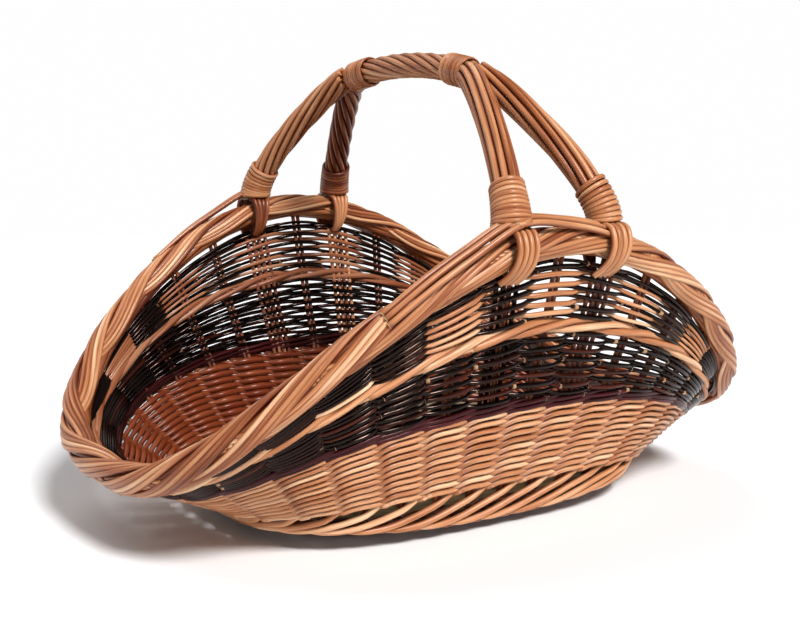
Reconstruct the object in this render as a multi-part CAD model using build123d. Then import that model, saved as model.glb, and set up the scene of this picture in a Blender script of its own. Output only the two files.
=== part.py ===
from build123d import *
import math
import os

# Oval wicker log basket with a forked handle. Millimetres, +Z up.
# The origin is on the floor under the centre of the base, +X along the long axis.

# Plan ovals: half sizes, and how square the oval is (2 is an ellipse)
RIM_HALF_LENGTH = 285.0
RIM_HALF_WIDTH = 210.0
RIM_SQUARENESS = 2.8
BASE_HALF_LENGTH = 176.0
BASE_HALF_WIDTH = 130.0
BASE_SQUARENESS = 3.6
BASE_Z = 16.0

# Saddle-shaped rim: low at the two ends, high at the two sides
RIM_Z_END = 62.0
RIM_Z_SIDE = 243.0
SADDLE_POWER = 1.335

# How far the wall bows outward between base and rim: nearly straight at the ends
BOW_END = 0.06
BOW_SIDE = 0.32

# The woven wall
WALL = 9.0
RING_POINTS = 44

# Edges of the bands of weave as (at the ends, at the sides), 0 is base and 1 is rim
UPSETT_FOOT = (0.075, 0.036)
UPSETT_TOP = (0.200, 0.105)
LOWER_TOP = (0.683, 0.407)
MAROON_TOP = (0.720, 0.445)
BLACK_TOP = (0.760, 0.690)
WALE_TOP = (0.800, 0.735)
OPEN_TOP = (0.830, 0.905)
COLLAR_TOP = (0.855, 0.935)

# Rolled border round the rim
BORDER_HALF_THICK = 15.0
BORDER_HALF_HIGH_SIDE = 14.5
BORDER_HALF_HIGH_END = 17.0
BORDER_FACETS = 10

# Base: foot ring, rope edge, barked hoop, sticks and oval weave
FOOT_HALF_LENGTH = 150.0
FOOT_HALF_WIDTH = 93.0
FOOT_WIDE = 12.0
FOOT_HIGH = 11.5
ROPE_CENTRE = (0.0, 0.0)
ROPE_RADIUS = 6.5
ROPE_FACETS = 8
HOOP_THICK = 5.0
BASE_WEAVE_HALF_LENGTH = 169.0
BASE_WEAVE_HALF_WIDTH = 123.0
BASE_WEAVE_Z = 12.0
BASE_WEAVE_THICK = 8.0
STICK_RADIUS = 4.5
LONG_STICKS = 3
LONG_STICK_PITCH = 20.0
CROSS_STICKS = 9
CROSS_STICK_PITCH = 34.0

# Side stakes, seen as ribs on the inside of the wall
STAKES = 36
STAKE_RADIUS = 3.2
STAKE_INSET = -3.2
STAKE_FOOT = (0.21, 0.11)

# Forked handle: four legs joined by one grip
LEG_X = 45.0
LEG_Y = 206.0
LEG_LIFT = 20.0
LEG_RADIUS = 11.5
LEG_RISE = 28.0
FORK_X = 5.0
FORK_Y = 96.0
FORK_Z = 369.0
FORK_REACH = 27.0
FORK_DROP = 9.5
GRIP_RADIUS = 11.0
GRIP_TOP_Z = 379.0

# Skein bindings round the leg feet and round the two forks
LEG_BINDING_RADIUS = 16.0
LEG_BINDING_END = 0.26
FORK_BINDING_RADIUS = 14.5
FORK_BINDING_START = 0.035
FORK_BINDING_END = 0.18

# Rod ends that tie each leg down over the border, and liners beside the stakes
TAIL_RODS = 4
TAIL_PITCH = 5.3
TAIL_RADIUS = 2.5
# Each bundle as (outward, upward) from the middle of the border
OUTER_TAIL = ((2.0, 17.5), (14.0, 15.5), (19.0, 4.0), (17.5, -9.0), (9.0, -20.0), (3.5, -28.0))
INNER_TAIL = ((-9.0, 17.5), (-15.0, 14.5), (-19.0, 4.0), (-19.0, -8.0), (-17.0, -17.0), (-15.0, -25.0))
LINER_RODS = 3
LINER_PITCH = 6.0
LINER_RADIUS = 2.6
LINER_GAP = 2.2
LINER_FOOT = (0.25, 0.14)
LINER_TOP = (0.86, 0.925)

SIDES = {"front": -1, "back": 1}
HANDS = {"left": -1, "right": 1}


def oval(angle, squareness):
    """Point of a unit rounded oval at a plan angle in radians."""
    c = math.cos(angle)
    s = math.sin(angle)
    reach = (abs(c) ** squareness + abs(s) ** squareness) ** (-1 / squareness)
    return reach * c, reach * s


def endness(angle):
    """1 at the two ends of the basket, 0 at the middle of its sides."""
    return abs(oval(angle, RIM_SQUARENESS)[0]) ** (RIM_SQUARENESS / 2)


def rim_height(angle):
    drop = endness(angle) ** SADDLE_POWER
    return RIM_Z_SIDE - (RIM_Z_SIDE - RIM_Z_END) * drop


def level(edge, angle):
    """Height fraction of a band edge at a plan angle."""
    at_end, at_side = edge
    return at_side + (at_end - at_side) * endness(angle) ** SADDLE_POWER


def wall_point(angle, t):
    """Point on the middle surface of the wall."""
    bx, by = oval(angle, BASE_SQUARENESS)
    rx, ry = oval(angle, RIM_SQUARENESS)
    bow = BOW_SIDE + (BOW_END - BOW_SIDE) * endness(angle)
    k = t + bow * t * (1 - t)
    x = BASE_HALF_LENGTH * bx * (1 - k) + RIM_HALF_LENGTH * rx * k
    y = BASE_HALF_WIDTH * by * (1 - k) + RIM_HALF_WIDTH * ry * k
    return Vector(x, y, BASE_Z + (rim_height(angle) - BASE_Z) * t)


def wall_frame(angle, t):
    """Middle point, outward normal and upward direction of the wall."""
    step = 0.002
    here = wall_point(angle, t)
    up = (wall_point(angle, t + step) - wall_point(angle, t - step)).normalized()
    along = wall_point(angle + step, t) - wall_point(angle - step, t)
    return here, along.cross(up).normalized(), up


def wall_ring(edge, out, rise=0.0):
    """Points round the basket at a band edge, moved outward and up the wall."""
    points = []
    for i in range(RING_POINTS):
        angle = 2 * math.pi * (i + 0.5) / RING_POINTS
        here, normal, up = wall_frame(angle, level(edge, angle))
        points.append(here + normal * out + up * rise)
    return points


def flat_ring(half_length, half_width, z):
    points = []
    for i in range(RING_POINTS):
        angle = 2 * math.pi * (i + 0.5) / RING_POINTS
        x, y = oval(angle, BASE_SQUARENESS)
        points.append(Vector(half_length * x, half_width * y, z))
    return points


def ring_solid(rings):
    """Closed ring whose section runs through the given rings in order."""
    edges = [Edge.make_spline(points, periodic=True) for points in rings]
    faces = []
    for first, second in zip(edges, edges[1:] + edges[:1]):
        faces.append(Face.make_surface_from_curves(first, second))
    return Solid(Shell(faces))


def middle(low, high):
    return ((low[0] + high[0]) / 2, (low[1] + high[1]) / 2)


def band(low, high, out=0.0, thick=WALL):
    """One band of weave between two band edges."""
    outer = out + thick / 2
    inner = out - thick / 2
    edges = [low, middle(low, high), high]
    rings = [wall_ring(edge, outer) for edge in edges]
    rings += [wall_ring(edge, inner) for edge in reversed(edges)]
    return ring_solid(rings)


def rope(edge, radius, facets):
    """Round rope laid along a band edge."""
    rings = []
    for i in range(facets):
        turn = 2 * math.pi * i / facets
        rings.append(wall_ring(edge, radius * math.cos(turn), radius * math.sin(turn)))
    return ring_solid(rings)


def rim_border():
    """Oval-sectioned border, taller at the ends than at the sides."""
    rings = []
    for j in range(BORDER_FACETS):
        turn = 2 * math.pi * j / BORDER_FACETS
        points = []
        for i in range(RING_POINTS):
            angle = 2 * math.pi * (i + 0.5) / RING_POINTS
            here, normal, up = wall_frame(angle, 1.0)
            grow = (BORDER_HALF_HIGH_END - BORDER_HALF_HIGH_SIDE) * endness(angle)
            high = BORDER_HALF_HIGH_SIDE + grow
            out = BORDER_HALF_THICK * math.cos(turn)
            points.append(here + normal * out + up * high * math.sin(turn))
        rings.append(points)
    return ring_solid(rings)


def oval_plate(half_length, half_width, z, thick):
    outline = Edge.make_spline(flat_ring(half_length, half_width, z), periodic=True)
    return extrude(Face(Wire([outline])), thick, dir=(0, 0, 1))


def foot_ring():
    """Ring under the base with a true flat face on the floor."""
    half = FOOT_WIDE / 2
    outer = oval_plate(FOOT_HALF_LENGTH + half, FOOT_HALF_WIDTH + half, 0, FOOT_HIGH)
    inner = oval_plate(FOOT_HALF_LENGTH - half, FOOT_HALF_WIDTH - half, 0, FOOT_HIGH)
    return outer - inner


def rod(points, radius):
    """Round rod along a smooth line through the points."""
    path = Edge.make_spline(points)
    section = Plane(path @ 0, z_dir=path % 0) * Circle(radius)
    return sweep(section, path=path)


def straight_rod(start, end, radius):
    path = Edge.make_line(start, end)
    section = Plane(path @ 0, z_dir=path % 0) * Circle(radius)
    return sweep(section, path=path)


def base_reach(x, y):
    """Half length of a chord of the base weave through x or through y."""
    n = BASE_SQUARENESS
    if y is None:
        return BASE_WEAVE_HALF_WIDTH * (1 - abs(x / BASE_WEAVE_HALF_LENGTH) ** n) ** (1 / n)
    return BASE_WEAVE_HALF_LENGTH * (1 - abs(y / BASE_WEAVE_HALF_WIDTH) ** n) ** (1 / n)


def long_sticks():
    z = BASE_WEAVE_Z + BASE_WEAVE_THICK / 2
    rods = []
    for i in range(LONG_STICKS):
        y = (i - (LONG_STICKS - 1) / 2) * LONG_STICK_PITCH
        reach = base_reach(None, y) - 1
        rods.append(straight_rod((-reach, y, z), (reach, y, z), STICK_RADIUS))
    return rods


def cross_sticks():
    z = BASE_WEAVE_Z + BASE_WEAVE_THICK / 2
    rods = []
    for i in range(CROSS_STICKS):
        x = (i - (CROSS_STICKS - 1) / 2) * CROSS_STICK_PITCH
        reach = base_reach(x, None) - 1
        rods.append(straight_rod((x, -reach, z), (x, reach, z), STICK_RADIUS))
    return rods


def wall_rod(angle, foot, top, out, radius):
    """Rod standing in the wall from one band edge to another."""
    points = []
    steps = 5
    for i in range(steps + 1):
        low = level(foot, angle)
        t = low + (level(top, angle) - low) * i / steps
        here, normal, up = wall_frame(angle, t)
        points.append(here + normal * out)
    return rod(points, radius)


def stake_angles():
    """Plan angles that space the stakes evenly round the rim."""
    steps = 720
    angles = [2 * math.pi * i / steps for i in range(steps + 1)]
    places = [wall_point(a, 0.6) for a in angles]
    runs = [0.0]
    for first, second in zip(places, places[1:]):
        runs.append(runs[-1] + (second - first).length)
    wanted = [runs[-1] * (i + 0.5) / STAKES for i in range(STAKES)]
    return [angles[min(j for j in range(steps + 1) if runs[j] >= w)] for w in wanted]


def side_stakes():
    rods = []
    for angle in stake_angles():
        rods.append(wall_rod(angle, STAKE_FOOT, COLLAR_TOP, STAKE_INSET, STAKE_RADIUS))
    return rods


def leg_angle(hand, side):
    """Plan angle at which the rim passes under a handle leg."""
    x = LEG_X / RIM_HALF_LENGTH
    y = (1 - x ** RIM_SQUARENESS) ** (1 / RIM_SQUARENESS)
    return math.atan2(side * y, hand * x)


def leg_foot_z():
    return rim_height(leg_angle(1, 1)) + LEG_LIFT


def leg_path(hand, side):
    z = leg_foot_z()
    foot = (hand * LEG_X, side * LEG_Y, z)
    rise = (hand * LEG_X, side * LEG_Y, z + LEG_RISE)
    reach = (hand * 12, side * (FORK_Y + FORK_REACH), FORK_Z - FORK_DROP)
    fork = (hand * FORK_X, side * FORK_Y, FORK_Z)
    return Edge.make_bezier(foot, rise, reach, fork)


def grip_path():
    return Edge.make_three_point_arc((0, -FORK_Y, FORK_Z), (0, 0, GRIP_TOP_Z), (0, FORK_Y, FORK_Z))


def tube(path, radius):
    section = Plane(path @ 0, z_dir=path % 0) * Circle(radius)
    return sweep(section, path=path)


def sleeve(path, outer, inner):
    frame = Plane(path @ 0, z_dir=path % 0)
    return sweep(frame * (Circle(outer) - Circle(inner)), path=path)


def fork_binding(side):
    """Binding round the grip just inside one fork."""
    start, end = FORK_BINDING_START, FORK_BINDING_END
    if side > 0:
        start, end = 1 - end, 1 - start
    return sleeve(grip_path().trim(start, end), FORK_BINDING_RADIUS, GRIP_RADIUS)


def leg_tail(hand, side, drops):
    """Bundle of rod ends bent over the border beside one leg foot."""
    here, normal, up = wall_frame(leg_angle(hand, side), 1.0)
    rods = []
    for i in range(TAIL_RODS):
        shift = (i - (TAIL_RODS - 1) / 2) * TAIL_PITCH
        points = []
        for across, lift in drops:
            y = side * (abs(here.Y) + across)
            points.append(Vector(hand * LEG_X + shift, y, here.Z + lift))
        rods.append(rod(points, TAIL_RADIUS))
    return rods


def liner(hand, side):
    """Extra rods that run down inside the wall under one leg."""
    mid = leg_angle(hand, side)
    rods = []
    for i in range(LINER_RODS):
        shift = (i - (LINER_RODS - 1) / 2) * LINER_PITCH / RIM_HALF_WIDTH
        out = -WALL / 2 - LINER_RADIUS - LINER_GAP
        rods.append(wall_rod(mid + shift, LINER_FOOT, LINER_TOP, out, LINER_RADIUS))
    return rods


def write(name, shape):
    solids = shape if isinstance(shape, list) else [shape]
    solids = [s for piece in solids for s in piece.solids()]
    whole = solids[0] if len(solids) == 1 else Compound(children=solids)
    whole.label = name
    export_step(whole, f"parts/{name}.step")


def write_body():
    write("foot_ring", foot_ring())
    write("base_long_sticks", long_sticks())
    write("base_cross_sticks", cross_sticks())
    write("base_weave", oval_plate(
        BASE_WEAVE_HALF_LENGTH, BASE_WEAVE_HALF_WIDTH, BASE_WEAVE_Z, BASE_WEAVE_THICK
    ))
    write("base_rope", rope(ROPE_CENTRE, ROPE_RADIUS, ROPE_FACETS))
    write("base_hoop", band(UPSETT_FOOT, UPSETT_TOP, -(WALL + HOOP_THICK) / 2, HOOP_THICK))
    write("side_stakes", side_stakes())
    write("upsett", band(UPSETT_FOOT, UPSETT_TOP))
    write("lower_weave", band(UPSETT_TOP, LOWER_TOP))
    write("maroon_wale", band(LOWER_TOP, MAROON_TOP))
    write("black_weave", band(MAROON_TOP, BLACK_TOP))
    write("light_wale", band(BLACK_TOP, WALE_TOP))
    write("open_weave", band(WALE_TOP, OPEN_TOP))
    write("collar_weave", band(OPEN_TOP, COLLAR_TOP))
    write("rim_border", rim_border())


def write_handle():
    write("handle_grip", tube(grip_path(), GRIP_RADIUS))
    for side_name, side in SIDES.items():
        write(f"fork_binding_{side_name}", fork_binding(side))
        for hand_name, hand in HANDS.items():
            place = f"{side_name}_{hand_name}"
            path = leg_path(hand, side)
            write(f"handle_leg_{place}", tube(path, LEG_RADIUS))
            foot = path.trim(0, LEG_BINDING_END)
            write(f"leg_binding_{place}", sleeve(foot, LEG_BINDING_RADIUS, LEG_RADIUS))
            write(f"outer_tail_{place}", leg_tail(hand, side, OUTER_TAIL))
            write(f"inner_tail_{place}", leg_tail(hand, side, INNER_TAIL))
            write(f"liner_{place}", liner(hand, side))


os.makedirs("parts", exist_ok=True)
write_body()
write_handle()
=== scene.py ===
# %% [markdown]
# # A wicker log basket, woven rod by rod
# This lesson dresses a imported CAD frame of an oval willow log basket. The frame gives the
# sizes and places. Each band of the basket is then woven again from separate willow rods,
# because the rods, the holes between them and their cut ends are what make wicker look real.

# %% Load the frame
import bpy
import math
import numpy as np
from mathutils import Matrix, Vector


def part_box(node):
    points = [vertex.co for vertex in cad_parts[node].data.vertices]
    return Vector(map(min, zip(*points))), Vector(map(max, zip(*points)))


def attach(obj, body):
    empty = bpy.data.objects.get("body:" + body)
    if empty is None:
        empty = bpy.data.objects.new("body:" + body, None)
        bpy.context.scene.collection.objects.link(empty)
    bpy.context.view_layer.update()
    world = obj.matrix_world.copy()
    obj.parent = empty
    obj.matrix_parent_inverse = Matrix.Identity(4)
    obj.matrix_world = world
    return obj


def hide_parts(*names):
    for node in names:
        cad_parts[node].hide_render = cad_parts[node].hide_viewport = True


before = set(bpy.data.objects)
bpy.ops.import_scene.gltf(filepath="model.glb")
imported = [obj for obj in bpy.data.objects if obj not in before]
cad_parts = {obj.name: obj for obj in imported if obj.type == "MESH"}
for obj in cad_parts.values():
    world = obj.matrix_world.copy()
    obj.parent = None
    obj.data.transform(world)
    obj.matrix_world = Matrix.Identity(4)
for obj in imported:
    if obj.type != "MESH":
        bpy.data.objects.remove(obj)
bpy.ops.object.select_all(action="DESELECT")
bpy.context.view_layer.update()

# %% [markdown]
# ## Sizes
# A basket maker works from a base, a rim and a few heights. The same numbers shape the wall
# here. They repeat the frame's own design values, because a box cannot tell how square an
# oval is, how a wall bows or how a rim dips. The foot ring and the base weave are simple
# ovals, so their sizes are measured on the frame's nodes instead.

# %% Sizes in metres
MM = 0.001
foot_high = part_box("foot_ring")[1]
weave_low, weave_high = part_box("base_weave")

RIM_SQUARENESS = 2.8
BASE_SQUARENESS = 3.6
SADDLE_POWER = 1.335
BOW_END = 0.06
BOW_SIDE = 0.32
BASE_HALF_LENGTH = 176 * MM
BASE_HALF_WIDTH = 130 * MM
BASE_Z = 16 * MM
RIM_HALF_LENGTH = 285 * MM
RIM_HALF_WIDTH = 210 * MM
RIM_Z_END = 62 * MM
RIM_Z_SIDE = 243 * MM
STAKES = 36  # an even number, so that plain weave closes on itself
print("top corners of the foot and base boxes", foot_high, weave_high)


# %% [markdown]
# ## The wall as a formula
# A woven wall is easiest to fill with rods when any point on it can be asked for. Snapping
# rods to a sculpted surface is another way, but a formula gives the same wall to every rod,
# and it gives the outward direction that weaving in and out needs. Places along the wall are
# counted in stakes, so a rod that passes one stake has moved along by one.

# %% Points on the wall
def unit_oval(angle, squareness):
    c, s = np.cos(angle), np.sin(angle)
    reach = (np.abs(c) ** squareness + np.abs(s) ** squareness) ** (-1 / squareness)
    return reach * c, reach * s


def endness(angle):
    """1 at the two ends of the basket, 0 at the middle of its sides."""
    return np.abs(unit_oval(angle, RIM_SQUARENESS)[0]) ** (RIM_SQUARENESS / 2)


def rim_height(angle):
    return RIM_Z_SIDE - (RIM_Z_SIDE - RIM_Z_END) * endness(angle) ** SADDLE_POWER


def wall_point(angle, t):
    bx, by = unit_oval(angle, BASE_SQUARENESS)
    rx, ry = unit_oval(angle, RIM_SQUARENESS)
    bow = BOW_SIDE + (BOW_END - BOW_SIDE) * endness(angle)
    k = t + bow * t * (1 - t)
    x = BASE_HALF_LENGTH * bx * (1 - k) + RIM_HALF_LENGTH * rx * k
    y = BASE_HALF_WIDTH * by * (1 - k) + RIM_HALF_WIDTH * ry * k
    return np.stack([x, y, BASE_Z + (rim_height(angle) - BASE_Z) * t], -1)


def unit(v):
    return v / np.maximum(np.linalg.norm(v, axis=-1, keepdims=True), 1e-12)


def wall_frame(angle, t):
    """Point on the wall, outward normal and upward direction."""
    step = 0.002
    up = unit(wall_point(angle, t + step) - wall_point(angle, t - step))
    along = unit(wall_point(angle + step, t) - wall_point(angle - step, t))
    return wall_point(angle, t), unit(np.cross(along, up)), up


table_angle = np.linspace(0, 2 * math.pi, 1441)
table_point = wall_point(table_angle, np.full(1441, 0.6))
table_run = np.concatenate([[0], np.cumsum(np.linalg.norm(np.diff(table_point, axis=0), axis=1))])


def angle_at(place):
    """Plan angle of a place counted in stakes, which may run past a full turn."""
    turns = np.floor(np.asarray(place, float) / STAKES)
    rest = np.asarray(place, float) / STAKES - turns
    return np.interp(rest * table_run[-1], table_run, table_angle) + turns * 2 * math.pi


def place_at(angle):
    """The place, counted in stakes, of a plan angle."""
    return np.interp(angle % (2 * math.pi), table_angle, table_run) / table_run[-1] * STAKES


def level(edge, place):
    at_end, at_side = edge
    return at_side + (at_end - at_side) * endness(angle_at(place)) ** SADDLE_POWER


def on_wall(place, t, out):
    """Points of a rod on the wall, and the outward direction at each."""
    here, normal, up = wall_frame(angle_at(place), t)
    return here + normal * np.reshape(out, (-1, 1)), normal


print("stake pitch", round(table_run[-1] / STAKES * 1000, 1), "mm")

# %% [markdown]
# ## A rod
# Each willow rod is a tube that tapers and ends in a clean cut. A bevelled curve would do
# for one rod. There are hundreds here, and each needs its own tone and pale cut ends, so
# the tubes are written straight into one mesh per band. A UV map runs along each rod. A
# colour attribute holds the rod's tone in red, marks cut ends in green, and holds painted
# shade in blue, which darkens the side that faces away and places that lie in shadow.

# %% Bundles of rods
dice = np.random.default_rng(7)


def smooth_line(points, count):
    """Points spaced along a smooth curve through the given points."""
    points = np.array(points, float)
    padded = np.concatenate([2 * points[:1] - points[1:2], points, 2 * points[-1:] - points[-2:-1]])
    t = np.linspace(0, len(points) - 1 - 1e-9, count)
    i = t.astype(int)
    f = (t - i)[:, None]
    p0, p1, p2, p3 = padded[i], padded[i + 1], padded[i + 2], padded[i + 3]
    return 0.5 * (2 * p1 + (p2 - p0) * f + (2 * p0 - 5 * p1 + 4 * p2 - p3) * f ** 2
                  + (3 * p1 - p0 - 3 * p2 + p3) * f ** 3)


def new_bundle():
    return {"verts": [], "faces": [], "uvs": [], "tints": [], "smooth": [], "count": 0}


def rod_rings(path, ref, radius, sides, flat):
    """Section rings along a path. flat under 1 squeezes the section towards the wall."""
    along = unit(np.gradient(path, axis=0))
    a = unit(ref - (ref * along).sum(1, keepdims=True) * along)
    b = np.cross(along, a)
    turn = np.arange(sides) * 2 * math.pi / sides
    across = flat * np.cos(turn)[None, :, None] * a[:, None] + np.sin(turn)[None, :, None] * b[:, None]
    return path[:, None] + radius[:, None, None] * across


def add_rod(bundle, path, ref, radius, tone=0.5, sides=7, flat=1.0, back=0.0, painted_shade_along=0.0,
            cut=1.0, tip=0.0):
    """Adds a closed tube along path, with ref as the side that faces out.

    back and deep paint shade into the colour: back darkens the side that faces away, and deep
    darkens places along the rod that lie in shadow. cut and tip are how pale its ends and its
    first few millimetres are.
    """
    path = np.asarray(path, float)
    n = len(path)
    ref = np.broadcast_to(np.asarray(ref, float), path.shape)
    radius = np.broadcast_to(np.asarray(radius, float), (n,))
    first = bundle["count"]
    bundle["verts"].append(rod_rings(path, ref, radius, sides, flat).reshape(-1, 3))
    bundle["verts"].append(path[[0, -1]])
    run = np.concatenate([[0], np.cumsum(np.linalg.norm(np.diff(path, axis=0), axis=1))])
    run = run + dice.random() * 3
    i, k = np.meshgrid(np.arange(n - 1), np.arange(sides), indexing="ij")
    i, k = i.ravel(), k.ravel()
    k1 = (k + 1) % sides
    quads = np.stack([i * sides + k, i * sides + k1, (i + 1) * sides + k1, (i + 1) * sides + k], 1)
    bundle["faces"].extend((quads + first).tolist())
    u = np.stack([run[i], run[i], run[i + 1], run[i + 1]], 1)
    v = np.stack([k, k + 1, k + 1, k], 1) / sides
    bundle["uvs"].append(np.stack([u, v], -1).reshape(-1, 2))
    # Painted shade in the blue channel: the side facing away and the shadowed places along the rod are
    # darkened in place of real shadow.
    painted_shade_along = np.broadcast_to(np.asarray(painted_shade_along, float), (n,))
    painted_shade_by_corner = np.stack([painted_shade_along[i], painted_shade_along[i], painted_shade_along[i + 1], painted_shade_along[i + 1]], 1).ravel()
    shade = np.clip(back * (0.5 - 0.5 * np.cos(2 * math.pi * v.ravel())) + painted_shade_by_corner, 0, 1)
    plain = np.ones(len(shade))
    pale = np.repeat(np.where(i == 0, tip, 0.0), 4)
    bundle["tints"].append(np.stack([tone * plain, pale, shade, plain], 1))
    bundle["smooth"].extend([True] * len(quads))
    k = np.arange(sides)
    middle = first + n * sides
    last = first + (n - 1) * sides
    cap_a = np.stack([np.full(sides, middle), first + (k + 1) % sides, first + k], 1)
    cap_b = np.stack([np.full(sides, middle + 1), last + k, last + (k + 1) % sides], 1)
    bundle["faces"].extend(cap_a.tolist() + cap_b.tolist())
    bundle["uvs"].append(np.tile([run[0], 0.5], (sides * 6, 1)))
    bundle["tints"].append(np.tile([tone, cut, 0, 1], (sides * 6, 1)))
    bundle["smooth"].extend([False] * (2 * sides))
    bundle["count"] += n * sides + 2


def make_piece(bundle, name, material, slot, *nodes):
    """Turns a bundle into a piece that rides on the frame and stands for CAD nodes."""
    mesh = bpy.data.meshes.new(name)
    mesh.from_pydata(np.concatenate(bundle["verts"]).tolist(), [], bundle["faces"])
    uv = mesh.uv_layers.new(name="RodUV")
    uv.data.foreach_set("uv", np.concatenate(bundle["uvs"]).astype(np.float32).ravel())
    tint = mesh.color_attributes.new(name="willow", type="FLOAT_COLOR", domain="CORNER")
    tint.data.foreach_set("color", np.concatenate(bundle["tints"]).astype(np.float32).ravel())
    mesh.polygons.foreach_set("use_smooth", bundle["smooth"])
    mesh.update()
    piece = bpy.data.objects.new(name, mesh)
    bpy.context.scene.collection.objects.link(piece)
    mesh.materials.append(material)
    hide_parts(*nodes)
    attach(piece, "root")
    print(name, "triangles", sum(len(f) - 2 for f in bundle["faces"]))
    return piece


# %% [markdown]
# ## Willow finishes
# Buff willow is boiled and stripped, which stains it tan, and its skin keeps a soft sheen.
# The dark rods are the same willow soaked in black or maroon stain, which dries glossy. One
# builder serves them all: the rod's tone picks a colour from a short ramp, a stretched noise
# gives grain that follows the rod, and cut ends go pale because the pith is cream.

# %% Colour helper and node helper
def hex_colour(text):
    parts = [int(text[i:i + 2], 16) / 255 for i in (1, 3, 5)]
    return [p / 12.92 if p <= 0.04045 else ((p + 0.055) / 1.055) ** 2.4 for p in parts] + [1.0]


def add_node(tree, kind, settings=None, inputs=None):
    """Adds a node, sets its properties, then fills or links its inputs."""
    node = tree.nodes.new(kind)
    for key, value in (settings or {}).items():
        setattr(node, key, value)
    for key, value in (inputs or {}).items():
        if isinstance(value, bpy.types.NodeSocket):
            tree.links.new(value, node.inputs[key])
        else:
            node.inputs[key].default_value = value
    return node


def fill_ramp(node, stops):
    elements = node.color_ramp.elements
    while len(elements) < len(stops):
        elements.new(0.5)
    for element, (position, colour) in zip(elements, stops):
        element.position = position
        element.color = hex_colour(colour)


# %% Willow material builder
def rod_noise(tree, uv, scale_along, scale_round, detail):
    """Noise stretched along the rod. The scales are in cells per metre and per girth."""
    stretch = add_node(tree, "ShaderNodeMapping", inputs={
        "Vector": uv, "Scale": (scale_along, scale_round, 1.0)})
    noise = add_node(tree, "ShaderNodeTexNoise", {"noise_dimensions": "2D"}, {
        "Vector": stretch.outputs["Vector"], "Scale": 1.0, "Detail": detail})
    return noise.outputs["Fac"]


def willow(name, tones, cut, rough, coat, streak=0.35, bump=0.25, ior=1.42, sheen=(1.0, 1.0, 1.0)):
    material = bpy.data.materials.new(name)
    material.use_nodes = True
    tree = material.node_tree
    tree.nodes.clear()
    tint = add_node(tree, "ShaderNodeAttribute", {"attribute_name": "willow"})
    split = add_node(tree, "ShaderNodeSeparateColor", inputs={"Color": tint.outputs["Color"]})
    uv = add_node(tree, "ShaderNodeUVMap", {"uv_map": "RodUV"}).outputs["UV"]
    grain = rod_noise(tree, uv, 25.0, 10.0, 3.0)  # fibres about 40 mm long
    slow = rod_noise(tree, uv, 11.0, 0.6, 2.0)    # tone drifts over about 90 mm
    drift = add_node(tree, "ShaderNodeMath", {"operation": "MULTIPLY_ADD"}, {
        0: slow, 1: 0.8, 2: -0.4 - streak / 2})
    fibre = add_node(tree, "ShaderNodeMath", {"operation": "MULTIPLY_ADD"}, {
        0: grain, 1: streak, 2: drift.outputs[0]})
    pick = add_node(tree, "ShaderNodeMath", {"operation": "ADD", "use_clamp": True}, {
        0: split.outputs["Red"], 1: fibre.outputs[0]})
    ramp = add_node(tree, "ShaderNodeValToRGB", inputs={"Fac": pick.outputs[0]})
    fill_ramp(ramp, tones)
    colour = add_node(tree, "ShaderNodeMix", {"data_type": "RGBA"}, {
        0: split.outputs["Green"], 6: ramp.outputs["Color"], 7: hex_colour(cut)})
    # Painted shade: the blue channel multiplies the colour towards dark brown where the rod lies in
    # shadow.
    painted_shade = add_node(tree, "ShaderNodeMix", {"data_type": "RGBA", "blend_type": "MULTIPLY"}, {
        0: split.outputs["Blue"], 6: colour.outputs[2], 7: hex_colour("#9a6448")})
    shine = add_node(tree, "ShaderNodeMapRange", inputs={
        "Value": grain, "To Min": rough - 0.08, "To Max": rough + 0.12})
    relief = add_node(tree, "ShaderNodeBump", inputs={
        "Height": grain, "Strength": bump, "Distance": 0.0006})
    shader = add_node(tree, "ShaderNodeBsdfPrincipled", inputs={
        "Base Color": painted_shade.outputs[2], "Roughness": shine.outputs["Result"],
        "Normal": relief.outputs["Normal"], "IOR": ior, "Specular Tint": (*sheen, 1.0),
        "Coat Weight": coat, "Coat Roughness": 0.18})
    add_node(tree, "ShaderNodeOutputMaterial", inputs={"Surface": shader.outputs["BSDF"]})
    return material


# %% The four willow finishes
buff = willow("buff_willow", [
    (0.0, "#64290f"), (0.3, "#a06038"), (0.65, "#c88f64"), (1.0, "#ecc9a4")],
    "#ecd3ab", 0.36, 0.10, streak=0.5)
brown = willow("brown_willow", [
    (0.0, "#2c110a"), (0.4, "#5c2a17"), (0.8, "#8a5030"), (1.0, "#b07a4e")],
    "#d9ba8c", 0.40, 0.15)
black = willow("black_stained_willow", [
    (0.0, "#020101"), (0.5, "#090303"), (0.8, "#1e0b08"), (1.0, "#4a2016")],
    "#c9a27c", 0.17, 0.10, streak=0.3, ior=1.36, sheen=(1.0, 0.62, 0.50))
maroon = willow("maroon_stained_willow", [
    (0.0, "#1a0709"), (0.5, "#3a1116"), (1.0, "#5c2026")],
    "#d8c09a", 0.26, 0.10, streak=0.3, ior=1.36, sheen=(1.0, 0.65, 0.60))
print("materials", [m.name for m in bpy.data.materials])

# %% [markdown]
# ## Bands
# The wall is worked in bands, bottom to top. Each band edge has one height at the two low
# ends and another at the high sides, because the rows crowd together where the rim dips.
# The black, light, open and collar bands stand higher at the ends than the frame's plain
# rings do, so the woven rows there are a little less crowded.

# %% Band edges as (at the ends, at the sides)
UPSETT_TOP = (0.200, 0.105)
LOWER_TOP = (0.683, 0.407)
MAROON_TOP = (0.720, 0.445)
BLACK_TOP = (0.845, 0.690)
WALE_TOP = (0.880, 0.735)
OPEN_TOP = (0.900, 0.905)
COLLAR_TOP = (0.920, 0.940)


def between(low, high, across, place):
    bottom = level(low, place)
    return bottom + (level(high, place) - bottom) * across


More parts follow.
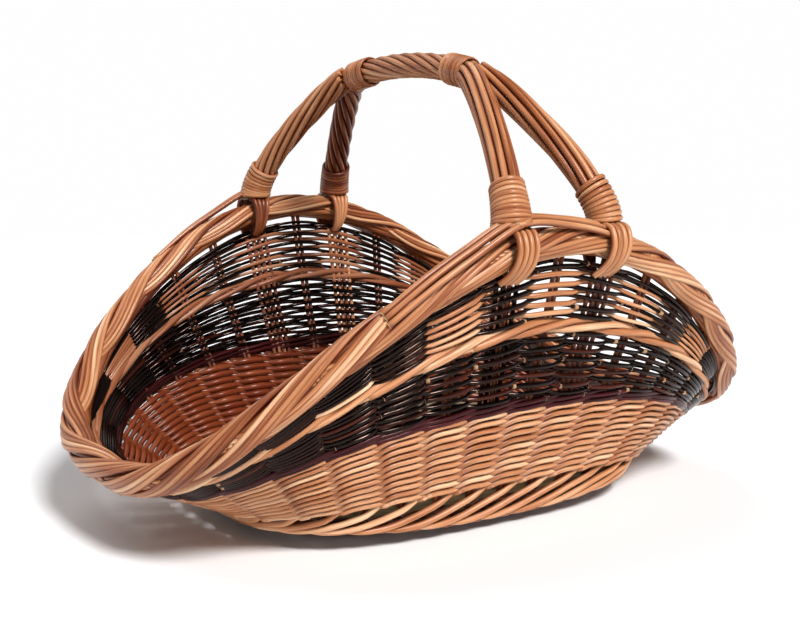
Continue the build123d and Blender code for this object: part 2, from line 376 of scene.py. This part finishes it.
def row_height(low, high, rows, place):
    """Surface height of one row at each place."""
    angle = angle_at(place)
    top = wall_point(angle, level(high, place))
    return np.linalg.norm(top - wall_point(angle, level(low, place)), axis=1) / rows


# %% [markdown]
# ## Side stakes
# Pairs of upright rods that the weavers pass in front of and behind. They start behind the
# bottom hoop and go up into the border. Straight cylinders would leave the bowed wall, so
# each stake follows the wall formula.

# %% Stakes
stakes = new_bundle()
for i in range(STAKES):
    for shift in (-0.055, 0.055):
        place = np.full(12, i + shift)
        low = level((0.12, 0.06), place)
        path, normal = on_wall(place, low + (0.97 - low) * np.linspace(0, 1, 12), -0.3 * MM)
        add_rod(stakes, path, normal, 1.9 * MM, 0.35 + 0.4 * dice.random())
make_piece(stakes, "side_stake_rods", brown, "brown_willow", "side_stakes")

# %% [markdown]
# ## Upsett and lower band
# The buff band is a French rand. One rod starts at every stake, passes in front of one
# stake and behind the next, and climbs one row for every two stakes. The strokes lie level
# over a stake and step up between stakes, which gives the staircase columns. Below it the
# same rods run as a rope along the bottom edge before they turn up, and that is the upsett.
# A texture cannot give the stepped outline or the small dark holes, so the rods are real.

# %% French rand
LOWER_ROWS = 11
STROKE = np.array([-1.0, -0.85, -0.74, -0.62, -0.50, -0.38, -0.28, -0.1, 0.2, 0.45, 0.60, 0.75, 0.88])
HEIGHT = np.array([-0.55, -0.52, -0.47, -0.36, -0.10, 0.18, 0.33, 0.38, 0.38, 0.38, 0.39, 0.41, 0.43])
SWING = np.array([-1.0, -0.95, -0.55, 0.35, 0.95, 1.1, 1.1, 1.0, 1.0, 0.75, 0.15, -0.6, -0.9])
# SHADE is painted shade along each stroke: most where the rod passes behind a stake, some on the steep
# step, none on the lit flats.
SHADE = np.array([0.6, 0.5, 0.4, 0.35, 0.40, 0.35, 0.15, 0.0, 0.0, 0.0, 0.20, 0.40, 0.5])
LEAD = np.array([-3.9, -3.4, -3.0, -2.6, -2.2, -1.8, -1.4, -1.0])
LEAD_T = np.array([-0.12, -0.10, -0.05, 0.05, 0.20, 0.38, 0.58, 0.80])
LEAD_OUT = np.array([1.0, 5.0, 6.2, 6.2, 5.8, 5.0, 4.4, 3.8]) * MM
END_KICK = 0.14  # the rope rides up a little at the two ends

lower = new_bundle()
upsett = new_bundle()
for i in range(STAKES):
    rows = np.arange(LOWER_ROWS)[:, None]
    place = (i + 2 * rows + STROKE).ravel()
    across = ((rows + 0.5 + HEIGHT) / LOWER_ROWS).ravel()
    out = np.tile(SWING, LOWER_ROWS) * 3.3 * MM
    t = between(UPSETT_TOP, LOWER_TOP, across, place)
    high = row_height(UPSETT_TOP, LOWER_TOP, LOWER_ROWS, place)
    radius = np.clip(0.38 * high, 1.5 * MM, 2.6 * MM) * np.linspace(1.06, 0.88, len(place))
    inside = np.clip(-out / (3 * MM), 0, 1)
    shade = np.tile(SHADE, LOWER_ROWS)
    path, normal = on_wall(place, t, out)
    tone = 0.55 + 0.2 * dice.random()
    keep = slice(3, -3)
    # back paints shade on the inner side, which gives the band its darker inside, and SHADE paints shade
    # along each stroke.
    add_rod(lower, path[keep], normal[keep], (radius * (1 + 0.35 * inside))[keep], tone, sides=8,
            back=1.0, painted_shade_along=shade[keep], cut=0.0)
    start = i + LEAD
    kick = END_KICK * endness(angle_at(start)) ** 2 * (0.8 - LEAD_T)
    lead, lead_normal = on_wall(start, level(UPSETT_TOP, start) * LEAD_T + kick, LEAD_OUT)
    path = smooth_line(np.concatenate([lead, path[3:7]]), 34)
    add_rod(upsett, path, lead_normal[3], 2.6 * MM, tone, sides=8, back=0.6)
for k in range(2):
    place = np.linspace(0, STAKES, 620)
    turn = math.pi * k + 2 * math.pi * place
    t = level(UPSETT_TOP, place) * (-0.12 + 0.10 * np.sin(turn)) + END_KICK * endness(angle_at(place)) ** 2
    path, normal = on_wall(place, t, (1.5 + 2.0 * np.cos(turn)) * MM)
    add_rod(upsett, path, normal, 3.0 * MM, 0.1 + 0.15 * k, sides=8, back=0.8)
make_piece(lower, "lower_weave_rods", buff, "buff_willow", "lower_weave")
make_piece(upsett, "upsett_rods", buff, "buff_willow", "upsett", "base_rope")

# %% [markdown]
# ## Plain weave
# The dark band and the open band are plain weave: each rod goes in front of one stake and
# behind the next, and the row above does the opposite. The open band uses thin rods with
# air between them, a light row then a dark row. Each row is several rods laid end to end,
# and their pale cut ends show where a new rod is laid in.


# %% Plain weave rows
def plain_rod(bundle, band, row, rows, first, last, thick, swing, tone):
    """One rod of a row, in front of every second stake from first to last."""
    low, high = band
    place = np.linspace(first, last, int((last - first) * 8))
    beat = np.cos(math.pi * (place + row))
    wander = 0.13 * np.sin(2.3 * place + row * 1.7) + 0.07 * np.sin(5.1 * place + row * 3.1)
    radius = np.clip(0.5 * row_height(low, high, rows, place), 0.72 * thick, thick)
    path, normal = on_wall(place, between(low, high, (row + 0.5 + wander) / rows, place),
                           np.sign(beat) * np.abs(beat) ** 0.5 * swing)
    path[0] = path[1] + (path[0] - path[1]) * 0.5 + normal[0] * 1.2 * MM
    add_rod(bundle, path, normal, radius * np.linspace(1.15, 0.84, len(place)), tone, sides=6,
            back=0.8, tip=0.8 * (dice.random() < 0.4))


def round_row(bundle, band, row, rows, thick, swing, dark, light, reach=9):
    """A row right round the basket, from rods laid end to end."""
    for piece in range(STAKES // reach):
        first = row * 5 % reach + piece * reach - 0.35 - 0.3 * dice.random()
        tone = dark + (light - dark) * dice.random()
        plain_rod(bundle, band, row, rows, first, first + reach + 0.8, thick, swing, tone)


BLACK_ROWS, OPEN_ROWS, COLLAR_ROWS = 15, 10, 3
black_band = new_bundle()
for row in range(BLACK_ROWS):
    round_row(black_band, (MAROON_TOP, BLACK_TOP), row, BLACK_ROWS, 2.35 * MM, 3.7 * MM, 0.1, 0.95,
              reach=6)
make_piece(black_band, "black_weave_rods", black, "black_willow", "black_weave")

open_light = new_bundle()
open_dark = new_bundle()
open_band = (WALE_TOP, OPEN_TOP)
for row in range(0, OPEN_ROWS, 2):
    round_row(open_dark, open_band, row, OPEN_ROWS, 2.25 * MM, 3.6 * MM, 0.1, 0.8)
# Light rods reach this far to each side of the middle of the back and of the front
LIGHT_REACH = {9: (5.4, 5.4), 27: (3.2, 5.2)}
for row in range(1, OPEN_ROWS, 2):
    for middle, (before, after) in LIGHT_REACH.items():
        first = middle - before - 0.4 * dice.random() - (2.0 if row == 1 else 0.0)
        last = middle + after + 0.4 * dice.random()
        plain_rod(open_light, open_band, row, OPEN_ROWS, first, last, 2.15 * MM, 3.6 * MM,
                  0.35 + 0.55 * dice.random())
        plain_rod(open_dark, open_band, row, OPEN_ROWS, middle - 7.5, first + 0.5, 2.1 * MM,
                  3.6 * MM, 0.3)
make_piece(open_light, "open_weave_light_rods", buff, "mixed_willow", "open_weave")
make_piece(open_dark, "open_weave_dark_rods", black, "mixed_willow", "open_weave")

collar = new_bundle()
for row in range(COLLAR_ROWS):
    round_row(collar, (OPEN_TOP, COLLAR_TOP), row, COLLAR_ROWS, 2.3 * MM, 3.2 * MM, 0.1, 0.8)
make_piece(collar, "collar_weave_rods", black, "black_willow", "collar_weave")

# %% [markdown]
# ## Wales
# A wale is three rods twined together: each passes in front of two stakes and behind one.
# It locks a band and shows as a cord with long slanting strokes. The maroon wale closes the
# buff band and a thick light wale closes the dark one.


# %% Wale rounds
def wale(bundle, low, high, rounds, thick, dark, light, reach=12):
    for turn in range(rounds):
        for strand in range(3):
            for piece in range(STAKES // reach):
                first = strand + piece * reach + turn * 4 - 0.6
                place = np.linspace(first, first + reach + 1.1, reach * 9)
                phase = 2 * math.pi * (place - strand) / 3
                out = (0.30 + np.cos(phase)) * 3.0 * MM
                climb = 0.36 * np.sin(phase)
                t = between(low, high, (turn + 0.5 + climb) / rounds, place)
                path, normal = on_wall(place, t, out)
                radius = thick * np.linspace(1.1, 0.85, len(place))
                add_rod(bundle, path, normal, radius, dark + (light - dark) * dice.random(), back=0.9)


maroon_wale = new_bundle()
wale(maroon_wale, LOWER_TOP, MAROON_TOP, 2, 2.0 * MM, 0.2, 0.9)
make_piece(maroon_wale, "maroon_wale_rods", maroon, "maroon_willow", "maroon_wale")
light_wale = new_bundle()
wale(light_wale, BLACK_TOP, WALE_TOP, 1, 2.9 * MM, 0.4, 0.85)
make_piece(light_wale, "light_wale_rods", buff, "buff_willow", "light_wale")

# %% [markdown]
# ## Rolled border
# The stake tops are bent down and plaited round the rim in groups of four rods, wrapped
# over a thick core. Each group sweeps from the inner edge over the top to the outer edge
# and back. A twisted rope would be simpler, but its rods never cross each other as the rods
# of a plait do.

# %% Border plait
BORDER_THICK = 15 * MM
PLAIT_WAVES = 6
PLAIT_GROUPS = 4
PLAIT_RODS = 4
ROD_SPREAD = 0.33  # turn between neighbouring rods of a group, in radians
CORE_RODS = 9
PLAIT_REACH = 1.75
PLAIT_LEAN = 1.35


def around_border(angle, turn, depth):
    """Point on the border's skin. turn 0 is outward and a quarter turn is up."""
    here, normal, up = wall_frame(angle, np.ones_like(angle))
    high = (14.5 + 2.5 * endness(angle)) * MM
    out = np.cos(turn)[:, None] * normal
    rise = np.sin(turn)[:, None] * up
    return here + out * (BORDER_THICK - depth)[:, None] + rise * (high - depth)[:, None], unit(out + rise)


border = new_bundle()
fine_angle = np.linspace(0, 2 * math.pi, 1441)
rim_point = wall_point(fine_angle, np.ones(1441))
rim_run = np.concatenate([[0], np.cumsum(np.linalg.norm(np.diff(rim_point, axis=0), axis=1))])
for group in range(PLAIT_GROUPS):
    for rod in range(PLAIT_RODS):
        for part in range(PLAIT_WAVES):
            middle = (part + 0.5 - group / PLAIT_GROUPS) / PLAIT_WAVES
            run = middle + np.linspace(-0.54, 0.54, 88) / PLAIT_WAVES
            angle = np.interp(run % 1.0, rim_run / rim_run[-1], fine_angle)
            phase = 2 * math.pi * (PLAIT_WAVES * run + group / PLAIT_GROUPS) - math.pi
            phase = phase - 0.42 * np.sin(phase)
            turn = PLAIT_LEAN + PLAIT_REACH * np.sin(phase) + (rod - 1.5) * ROD_SPREAD
            depth = (5.6 - 2.0 * np.cos(phase) - 1.0 * np.sin(2 * phase)) * MM
            path, normal = around_border(angle, turn, depth)
            tone = 0.22 + 0.58 * dice.random()
            # back=2.4 paints strong shade on the sides of each plait rod, which darkens the grooves
            # between them.
            add_rod(border, path, normal, 2.4 * MM, tone, sides=8, back=2.4, cut=0.3)
# The core rods take the darkest tones, painted shade that shows in the gaps between plait rods.
for k in range(CORE_RODS):
    angle = np.linspace(0, 2 * math.pi, 300)
    path, normal = around_border(angle, 2 * math.pi * k / CORE_RODS + 5 * angle, np.full(300, 8.5 * MM))
    add_rod(border, path, normal, 3.4 * MM, 0.05 + 0.2 * dice.random(), sides=6)
make_piece(border, "rim_border_rods", buff, "buff_willow", "rim_border")

# %% [markdown]
# ## Handle
# Each leg is a bundle of rods with a slow twist, and the two legs of a side fork into one
# grip. The rods are laid as helices round the middle line of the CAD legs. A twisted texture
# on a tube would be lighter, but the outline of a leg is bumpy, and only rods give that.

# %% Handle lines
LEG_X, LEG_Y, LEG_LIFT, LEG_RISE = 45 * MM, 206 * MM, 20 * MM, 28 * MM
FORK_X, FORK_Y, FORK_Z, GRIP_TOP_Z = 5 * MM, 96 * MM, 369 * MM, 379 * MM
FORK_REACH, FORK_DROP = 27 * MM, 9.5 * MM
leg_rim_y = (1 - (LEG_X / RIM_HALF_LENGTH) ** RIM_SQUARENESS) ** (1 / RIM_SQUARENESS)
LEG_ANGLE = math.atan2(leg_rim_y, LEG_X / RIM_HALF_LENGTH)
LEG_FOOT_Z = float(rim_height(np.array(LEG_ANGLE))) + LEG_LIFT


def bezier(points, t):
    p0, p1, p2, p3 = (np.array(p) for p in points)
    t = np.reshape(t, (-1, 1))
    return (1 - t) ** 3 * p0 + 3 * (1 - t) ** 2 * t * p1 + 3 * (1 - t) * t ** 2 * p2 + t ** 3 * p3


def leg_line(hand, side, t):
    """Middle line of a leg. t runs from 0 at the foot to 1 at the fork."""
    return bezier([
        (hand * LEG_X, side * LEG_Y, LEG_FOOT_Z),
        (hand * LEG_X, side * LEG_Y, LEG_FOOT_Z + LEG_RISE),
        (hand * 12 * MM, side * (FORK_Y + FORK_REACH), FORK_Z - FORK_DROP),
        (hand * FORK_X, side * FORK_Y, FORK_Z)], t)


def grip_line(t):
    """Middle line of the grip. t runs from 0 at the front fork to 1 at the back fork."""
    sag = GRIP_TOP_Z - FORK_Z
    radius = (FORK_Y ** 2 + sag ** 2) / (2 * sag)
    y = FORK_Y * (2 * np.asarray(t, float) - 1)
    z = GRIP_TOP_Z - radius + np.sqrt(radius ** 2 - y ** 2)
    return np.stack([np.zeros_like(y), y, z], -1)


def line_axes(line):
    """Two directions square to a line that never run vertical here."""
    along = unit(np.gradient(line, axis=0))
    a = unit(np.cross(along, np.array([0.0, 0.31, 0.05]) + np.array([1.0, 0.0, 0.0])))
    return a, np.cross(along, a)


def coil_round(line, radius, turns, start=0.0):
    """A helix round a line, and the outward direction at each point."""
    a, b = line_axes(line)
    turn = (start + turns * np.linspace(0, 1, len(line))) * 2 * math.pi
    out = np.cos(turn)[:, None] * a + np.sin(turn)[:, None] * b
    return line + out * np.reshape(radius, (-1, 1)), out


def twisted_bundle(bundle, line, core, thick, count, turns, dark, light):
    """Outer rods in a slow twist round a middle rod with the darkest tone and full painted shade, seen
    only in the grooves.
    """
    for k in range(count):
        path, out = coil_round(line, core, turns, k / count)
        add_rod(bundle, path, out, thick, dark + (light - dark) * dice.random(), sides=8, back=1.7,
                cut=0.0)
    add_rod(bundle, line, line_axes(line)[0], core * 0.95, 0.0, sides=8, painted_shade_along=1.0, cut=0.0)


# %% Legs and grip
SIDES = {"front": -1, "back": 1}
HANDS = {"left": -1, "right": 1}
# Turns of twist, darkest tone and lightest tone of each leg
LEG_LAY = {"front_left": (0.12, 0.30, 0.60), "front_right": (0.30, 0.35, 0.65),
           "back_left": (0.65, 0.25, 0.65), "back_right": (1.05, 0.02, 0.28)}
for side_name, side in SIDES.items():
    for hand_name, hand in HANDS.items():
        corner = f"{side_name}_{hand_name}"
        turns, dark, light = LEG_LAY[corner]
        legs = new_bundle()
        line = leg_line(hand, side, np.linspace(0.0, 1.0, 48))
        twisted_bundle(legs, line, 8.7 * MM, 2.8 * MM, 9, turns * -side, dark, light)
        make_piece(legs, f"leg_rods_{corner}", buff, "buff_willow", f"handle_leg_{corner}")
grip = new_bundle()
twisted_bundle(grip, grip_line(np.linspace(0.0, 1.0, 60)), 8.2 * MM, 2.7 * MM, 10, 0.95, 0.35, 0.65)
make_piece(grip, "grip_rods", buff, "buff_willow", "handle_grip")


# %% [markdown]
# ## Skein bindings
# Skein is willow split and shaved flat. It is wound turn against turn round the foot of each
# leg and round the forks, and holds the rods together. An array modifier could repeat one
# ring, but a real winding climbs, so each turn is one length of a long helix. Each turn gets
# its own tone.

# %% Wound skein
def wind(bundle, line, radius_from, radius_to, turns, width, thick, dark, light):
    """Winds flat skein turn against turn round a line, from one radius to another."""
    fine = int(turns * 22) + 1
    place = np.linspace(0, len(line) - 1, fine)
    dense = np.stack([np.interp(place, np.arange(len(line)), line[:, k]) for k in range(3)], -1)
    path, out = coil_round(dense, np.linspace(radius_from, radius_to, fine), turns)
    for part in range(int(turns)):
        cut = slice(part * 22, part * 22 + 23)
        add_rod(bundle, path[cut], out[cut], width / 2, dark + (light - dark) * dice.random(),
                sides=8, flat=thick / width, back=1.5, cut=0.2)


# Top end along the leg, number of turns and radius at the foot in millimetres
LEG_WRAP = {"front_left": (0.26, 11, 14.4), "front_right": (0.25, 9, 12.6),
            "back_left": (0.25, 9, 13.4), "back_right": (0.25, 10, 13.4)}
for side_name, side in SIDES.items():
    for hand_name, hand in HANDS.items():
        corner = f"{side_name}_{hand_name}"
        top, turns, foot_radius = LEG_WRAP[corner]
        binding = new_bundle()
        line = leg_line(hand, side, np.linspace(0.0, top, 30))
        light = 0.3 if corner == "back_right" else 0.6
        wind(binding, line, foot_radius * MM, 12.3 * MM, turns, 4.3 * MM, 3.4 * MM, light - 0.2, light)
        make_piece(binding, f"foot_skein_{corner}", buff, "willow_skein", f"leg_binding_{corner}")
# Start and end along the grip, number of turns and width of the skein in millimetres
FORK_WRAP = {"front": (0.03, 0.175, 5, 6.0), "back": (0.815, 0.965, 9, 3.6)}
for side_name, (low, high, turns, width) in FORK_WRAP.items():
    binding = new_bundle()
    line = grip_line(np.linspace(low, high, 30))
    wind(binding, line, 12.2 * MM, 12.2 * MM, turns, width * MM, 2.6 * MM, 0.35, 0.6)
    make_piece(binding, f"fork_skein_{side_name}", buff, "willow_skein", f"fork_binding_{side_name}")

# %% [markdown]
# ## Rod ends over the border
# The leg rods do not stop at the border. They split into two bundles that bend over it,
# one outside and one inside, and are pushed down beside the stakes. Liner rods stiffen the
# wall under each leg.


# %% Tails and liners
OUTER = ((2.0, 17.5), (13.0, 15.5), (18.5, 5.0), (17.5, -6.0), (11.5, -15.0), (5.0, -21.0))
INNER = ((-9.0, 17.5), (-15.0, 14.0), (-18.0, 5.0), (-18.0, -5.0), (-15.5, -13.0), (-12.0, -18.0))


def tail(bundle, hand, side, drops, sweep, narrow, tone, face):
    """Four rods bent over the border. sweep moves their ends along it, narrow gathers them.

    face is the y direction that the bundle looks towards.
    """
    here, normal, up = wall_frame(np.array([LEG_ANGLE]), np.ones(1))
    for i in range(4):
        points = []
        for step, (across, lift) in enumerate(drops):
            gather = 1 - narrow * step / (len(drops) - 1)
            shift = (i - 1.5) * 5.3 * gather + sweep * max(0, step - 1) ** 1.5
            y = side * (abs(here[0, 1]) + across * MM)
            points.append((hand * LEG_X + shift * MM, y, here[0, 2] + lift * MM))
        path = smooth_line(points, 28)
        add_rod(bundle, path, (0.0, face, 0.3), 2.5 * MM, tone + 0.25 * dice.random(), sides=8, back=1.6)


def side_tail(bundle, hand, side, tone, way):
    """Three rods that leave a leg foot and lie down along the border. way 1 is to the left."""
    for i in range(3):
        angle = math.atan2(side * leg_rim_y, hand * LEG_X / RIM_HALF_LENGTH)
        angle = angle + way * side * np.array([-0.02, 0.05, 0.13, 0.24, 0.36])
        turn = np.array([1.57, 1.57, 1.5, 1.35, 1.1]) + (i - 1) * np.array([0.25, 0.3, 0.36, 0.38, 0.36])
        path, normal = around_border(angle, turn, np.array([-12.0, -9.0, -4.5, -1.5, 1.0]) * MM)
        add_rod(bundle, smooth_line(path, 30), normal[2], 2.5 * MM, tone + 0.2 * dice.random(),
                sides=8, back=1.6)


SIDE_TAILS = {"front_left": (1, -1), "back_left": (1,)}
LINER_FINISH = {
    "front_left": (black, "black_willow"), "front_right": (brown, "brown_willow"),
    "back_left": (brown, "brown_willow"), "back_right": (buff, "buff_willow")}
for side_name, side in SIDES.items():
    for hand_name, hand in HANDS.items():
        corner = f"{side_name}_{hand_name}"
        outer = new_bundle()
        tail(outer, hand, side, OUTER, -1.2 if side < 0 else 0.0, 0.1, 0.45, side)
        for way in SIDE_TAILS.get(corner, ()):
            side_tail(outer, hand, side, 0.4, way)
        make_piece(outer, f"outer_tail_rods_{corner}", buff, "buff_willow", f"outer_tail_{corner}")
        inner = new_bundle()
        tail(inner, hand, side, INNER, -0.6, 0.8, 0.35 if corner == "back_right" else 0.02, -side)
        make_piece(inner, f"inner_tail_rods_{corner}", buff, "buff_willow", f"inner_tail_{corner}")
        liner = new_bundle()
        centre = np.round(place_at(math.atan2(side * math.sin(LEG_ANGLE), hand * math.cos(LEG_ANGLE))))
        for k in (-1.5, -0.5, 0.5, 1.5):
            place = np.full(14, centre + k * 0.14)
            low, high = level((0.25, 0.14), place), level((0.86, 0.925), place)
            path, normal = on_wall(place, low + (high - low) * np.linspace(0, 1, 14), -0.3 * MM)
            add_rod(liner, path, normal, 1.9 * MM, 0.35 + 0.4 * dice.random())
        finish, slot = LINER_FINISH[corner]
        make_piece(liner, f"liner_rods_{corner}", finish, slot, f"liner_{corner}")

# %% [markdown]
# ## Base
# The base is an oval of sticks with weavers, and a foot ring of three thick rods twisted
# together keeps it off the floor. Each rod of the foot is a helix round one flat oval.

# %% Foot ring
foot = new_bundle()
FOOT_HALF_LENGTH, FOOT_HALF_WIDTH = foot_high[0] - 6 * MM, foot_high[1] - 6 * MM
angle = np.linspace(0, 2 * math.pi, 500)
foot_x, foot_y = unit_oval(angle, BASE_SQUARENESS)
foot_line = np.stack([FOOT_HALF_LENGTH * foot_x, FOOT_HALF_WIDTH * foot_y, np.full(500, 5.7 * MM)], -1)
for k in range(3):
    turn = 2 * math.pi * (k / 3) + 16 * angle
    out = unit(foot_line - foot_line.mean(0)) * [1, 1, 0]
    path = foot_line + out * (np.cos(turn) * 3.0 * MM)[:, None]
    path[:, 2] += np.sin(turn) * 2.4 * MM
    add_rod(foot, path, (0, 0, 1.0), 3.2 * MM, 0.4 + 0.3 * dice.random(), sides=8)
make_piece(foot, "foot_ring_rods", brown, "brown_willow", "foot_ring")


# %% [markdown]
# ## Base weave
# The weavers of the base run round in ovals, over and under the sticks. A real base is
# usually worked as a spiral. Closed ovals are simpler to space evenly, and where one row
# starts is hard to see in a finished base.

# %% Base weave
BASE_ROWS, BASE_ROW_PITCH = 26, 4.7 * MM
base = new_bundle()
angle = np.linspace(0, 2 * math.pi, 240)
for row in range(BASE_ROWS):
    inset = row * BASE_ROW_PITCH
    x, y = unit_oval(angle, BASE_SQUARENESS - 1.2 * row / BASE_ROWS)
    half_length = weave_high[0] + 13 * MM - inset * 0.85
    half_width = weave_high[1] + 6 * MM - inset
    line = np.stack([half_length * x, half_width * y, np.zeros(240)], -1)
    beat = np.cos(math.pi * (line[:, 0] / (34 * MM) + row)) * np.abs(y) ** 2
    beat = beat + np.cos(math.pi * (line[:, 1] / (20 * MM) + row)) * (1 - np.abs(y) ** 2)
    dish = math.exp(-inset / (9 * MM)) * (4 + 6 * np.abs(x) ** 4)
    line[:, 2] = (weave_low[2] + weave_high[2]) / 2 + (4.0 * beat + dish) * MM
    add_rod(base, line, (0, 0, 1.0), 2.4 * MM, 0.3 + 0.5 * dice.random(), sides=6, cut=0.4)
make_piece(base, "base_weave_rods", brown, "brown_willow", "base_weave")


# %% [markdown]
# ## Sticks and hoop
# The base sticks and the hoop behind the upsett are single straight or bent rods. Their CAD
# shape is already right, so they keep it and get a finish. The hoop still has its bark, which
# is matt and olive brown. The sticks are stripped willow, redder and smoother.

# %% Finish for the nodes that stay
def plain_wood(name, light, dark, rough):
    """Willow finish for CAD shapes, with streaks 4 mm wide and 60 mm long."""
    material = bpy.data.materials.new(name)
    material.use_nodes = True
    tree = material.node_tree
    tree.nodes.clear()
    place = add_node(tree, "ShaderNodeTexCoord").outputs["Object"]
    stretch = add_node(tree, "ShaderNodeMapping", inputs={"Vector": place, "Scale": (16.0, 250.0, 250.0)})
    noise = add_node(tree, "ShaderNodeTexNoise", inputs={
        "Vector": stretch.outputs["Vector"], "Scale": 1.0, "Detail": 3.0})
    ramp = add_node(tree, "ShaderNodeValToRGB", inputs={"Fac": noise.outputs["Fac"]})
    fill_ramp(ramp, [(0.3, dark), (0.7, light)])
    shader = add_node(tree, "ShaderNodeBsdfPrincipled", inputs={
        "Base Color": ramp.outputs["Color"], "Roughness": rough})
    add_node(tree, "ShaderNodeOutputMaterial", inputs={"Surface": shader.outputs["BSDF"]})
    return material


base_wood = plain_wood("base_willow", "#96603c", "#4a2413", 0.5)
hoop_wood = plain_wood("barked_hoop", "#94825c", "#574a32", 0.65)
kept_finish = {"base_long_sticks": base_wood, "base_cross_sticks": base_wood, "base_hoop": hoop_wood}
for name, finish in kept_finish.items():
    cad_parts[name].data.materials.clear()
    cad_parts[name].data.materials.append(finish)
print("kept CAD shapes", sorted(kept_finish))

# %% [markdown]
# ## Studio
# The basket stands on a pale sweep. A key light from the front and above gives the rods
# their long highlights. A very soft, weaker light from behind and above fills the shadows,
# with a little light from the world. Far out, the paper glows, so that its edge never shows.

# %% Floor and light
def lathe(name, profile, segments):
    """A surface turned round the vertical axis from (radius, height) points."""
    turn = np.arange(segments) * 2 * math.pi / segments
    verts = [(r * math.cos(a), r * math.sin(a), z) for r, z in profile for a in turn]
    faces = [tuple(range(segments))]
    for ring in range(len(profile) - 1):
        for k in range(segments):
            a, b = ring * segments + k, ring * segments + (k + 1) % segments
            faces.append((a, a + segments, b + segments, b))
    mesh = bpy.data.meshes.new(name)
    mesh.from_pydata(verts, [], faces)
    turned = bpy.data.objects.new(name, mesh)
    bpy.context.scene.collection.objects.link(turned)
    return turned


floor = lathe("floor_sweep", [(0.5, 0), (3.5, 0), (4.2, 0.1), (4.7, 0.5), (4.9, 1.2)], 48)
paper = bpy.data.materials.new("pale_paper")
paper.use_nodes = True
tree = paper.node_tree
tree.nodes.clear()
place = add_node(tree, "ShaderNodeTexCoord").outputs["Object"]
reach = add_node(tree, "ShaderNodeVectorMath", {"operation": "LENGTH"}, {0: place})
edge = add_node(tree, "ShaderNodeMapRange", {"interpolation_type": "SMOOTHSTEP"}, {
    "Value": reach.outputs["Value"], "From Min": 0.8, "From Max": 2.6})
matt = add_node(tree, "ShaderNodeBsdfDiffuse", inputs={"Color": hex_colour("#efeff0")})
glow = add_node(tree, "ShaderNodeEmission", inputs={"Color": hex_colour("#fbfbfb"), "Strength": 1.03})
paper_mix = add_node(tree, "ShaderNodeMixShader", inputs={
    0: edge.outputs["Result"], 1: matt.outputs["BSDF"], 2: glow.outputs["Emission"]})
add_node(tree, "ShaderNodeOutputMaterial", inputs={"Surface": paper_mix.outputs["Shader"]})
floor.data.materials.append(paper)

world = bpy.data.worlds.new("studio")
world.use_nodes = True
world.node_tree.nodes["Background"].inputs["Color"].default_value = (1, 1, 1, 1)
world.node_tree.nodes["Background"].inputs["Strength"].default_value = 0.18
bpy.context.scene.world = world


def sun(name, energy, soft_degrees, towards):
    light = bpy.data.lights.new(name, "SUN")
    light.energy = energy
    light.angle = math.radians(soft_degrees)
    lamp = bpy.data.objects.new(name, light)
    bpy.context.scene.collection.objects.link(lamp)
    lamp.rotation_euler = Vector(towards).to_track_quat("Z", "Y").to_euler()


sun("key", 4.0, 16, (-0.02, -0.85, 0.90))
sun("top_fill", 1.1, 60, (-0.25, 0.75, 1.0))

# %% [markdown]
# ## Camera
# The camera looks a little down on the front left of the basket, from close enough for the
# near end to look larger. It aims at a point near the middle of the basket.

# %% Camera
AZIMUTH, ELEVATION, DISTANCE = math.radians(-33.07), math.radians(8.94), 1.190
back = Vector((math.sin(AZIMUTH) * math.cos(ELEVATION),
               -math.cos(AZIMUTH) * math.cos(ELEVATION), math.sin(ELEVATION)))
right = Vector((math.cos(AZIMUTH), math.sin(AZIMUTH), 0))
target = right * -0.0072 + Vector((0, 0, 0.159))
camera = bpy.data.objects.new("camera", bpy.data.cameras.new("camera"))
bpy.context.scene.collection.objects.link(camera)
camera.location = target + back * DISTANCE
camera.rotation_euler = (-back).to_track_quat("-Z", "Y").to_euler()
camera.data.sensor_width = 36
camera.data.lens = 60.1
print("camera at", [round(value, 3) for value in camera.location])
bpy.context.scene.camera = camera
bpy.context.scene.view_settings.view_transform = "Standard"
bpy.context.scene.view_settings.gamma = 0.92

# %% [markdown]
# The view layer is updated once more at the end.

bpy.context.view_layer.update()
